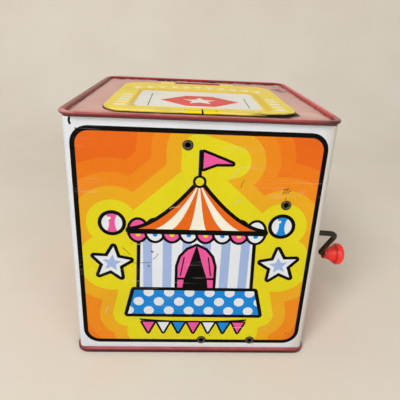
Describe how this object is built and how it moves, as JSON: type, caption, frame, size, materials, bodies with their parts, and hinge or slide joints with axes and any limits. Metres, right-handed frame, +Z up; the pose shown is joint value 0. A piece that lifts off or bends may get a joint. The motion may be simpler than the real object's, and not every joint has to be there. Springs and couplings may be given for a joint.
{
  "type": "jack in the box",
  "caption": "Square lithographed tin toy box with a side crank and music movement; a latched, hinged lid springs open and a capped figure on a coil spring jumps out.",
  "frame": {"origin": "centre of the base's underside, on the table", "axes": "+Z up, the printed front with the crank at its right faces -Y, the crank shaft runs along +X"},
  "size_m": [0.1677, 0.1392, 0.1448],
  "materials": {
    "litho_tin": "printed and varnished",
    "rim_paint": "gloss, worn",
    "top_paint": "gloss, dusty",
    "lid_paint": "printed and varnished",
    "bare_steel": "plain",
    "rivet_steel": "darkened",
    "black_wire": "dark wire",
    "knob_plastic": "gloss",
    "gear_plastic": "plain",
    "drum_plastic": "plain",
    "comb_steel": "plain",
    "cast_block": "plain",
    "spring_steel": "plain",
    "garment_cloth": "woven",
    "ruff_cloth": "woven",
    "sleeve_cloth": "woven",
    "hand_plastic": "satin",
    "head_plastic": "satin",
    "nose_plastic": "gloss",
    "cap_felt": "felt",
    "brim_felt": "felt",
    "pompom_wool": "wool",
    "hair_wool": "wool"
  },
  "bodies": {
    "box": {"box_body": "litho_tin", "base_plate": "rim_paint", "top_plate": "top_paint", "hinge_knuckle": "rim_paint", "hinge_pin": "bare_steel", "hinge_rivets": "bare_steel", "front_rivets": "rivet_steel", "pivot_rivet": "rivet_steel", "crank_bush": "bare_steel", "movement_frame": "bare_steel", "comb": "comb_steel", "comb_block": "cast_block", "comb_screws": "bare_steel", "latch_spring": "spring_steel", "spring_base": "bare_steel"},
    "lid": {"lid": "lid_paint", "lid_tongue": "bare_steel"},
    "jack": {"jack_spring": "spring_steel", "garment": "garment_cloth", "spring_cup": "bare_steel", "collar_ruff": "ruff_cloth", "head": "head_plastic", "nose": "nose_plastic", "hair_tufts": "hair_wool", "cap": "cap_felt", "cap_brim": "brim_felt", "cap_pompom": "pompom_wool", "left_arm": "sleeve_cloth", "right_arm": "sleeve_cloth", "left_hand": "hand_plastic", "right_hand": "hand_plastic"},
    "crank": {"crank_rod": "black_wire", "drive_pinion": "gear_plastic", "shaft_retainer": "bare_steel"},
    "knob": {"crank_knob": "knob_plastic"},
    "drum": {"music_drum": "drum_plastic", "drum_wheel": "gear_plastic", "release_cam": "gear_plastic", "drum_axle": "bare_steel"},
    "latch": {"latch_lever": "bare_steel"}
  },
  "joints": [
    {"name": "jack_pop", "type": "slide", "parent": "box", "child": "jack", "axis": [0, 0, 1], "range_m": [0, 0.115], "deforming": ["jack_spring", "garment"]},
    {"name": "lid_hinge", "type": "hinge", "parent": "box", "child": "lid", "pos_m": [0, 0.043, 0.1436], "axis": [-1, 0, 0], "range_deg": [0, 130]},
    {"name": "crank_turn", "type": "hinge", "parent": "box", "child": "crank", "pos_m": [0, -0.047, 0.0723], "axis": [1, 0, 0], "continuous": true},
    {"name": "drum_turn", "type": "hinge", "parent": "box", "child": "drum", "pos_m": [0, -0.047, 0.09355], "axis": [1, 0, 0], "continuous": true},
    {"name": "knob_spin", "type": "hinge", "parent": "crank", "child": "knob", "pos_m": [0.09165, -0.03152, 0.04847], "axis": [0.9945, 0.0569, -0.0877], "continuous": true},
    {"name": "latch_swing", "type": "hinge", "parent": "box", "child": "latch", "pos_m": [-0.0066, -0.0644, 0.1297], "axis": [0, 1, 0], "range_deg": [-6.5, 0]}
  ],
  "couplings": [
    {"joint": "lid_hinge", "follows": "jack_pop", "rad_per_m": 19.73},
    {"joint": "drum_turn", "follows": "crank_turn", "ratio": -0.3125}
  ]
}
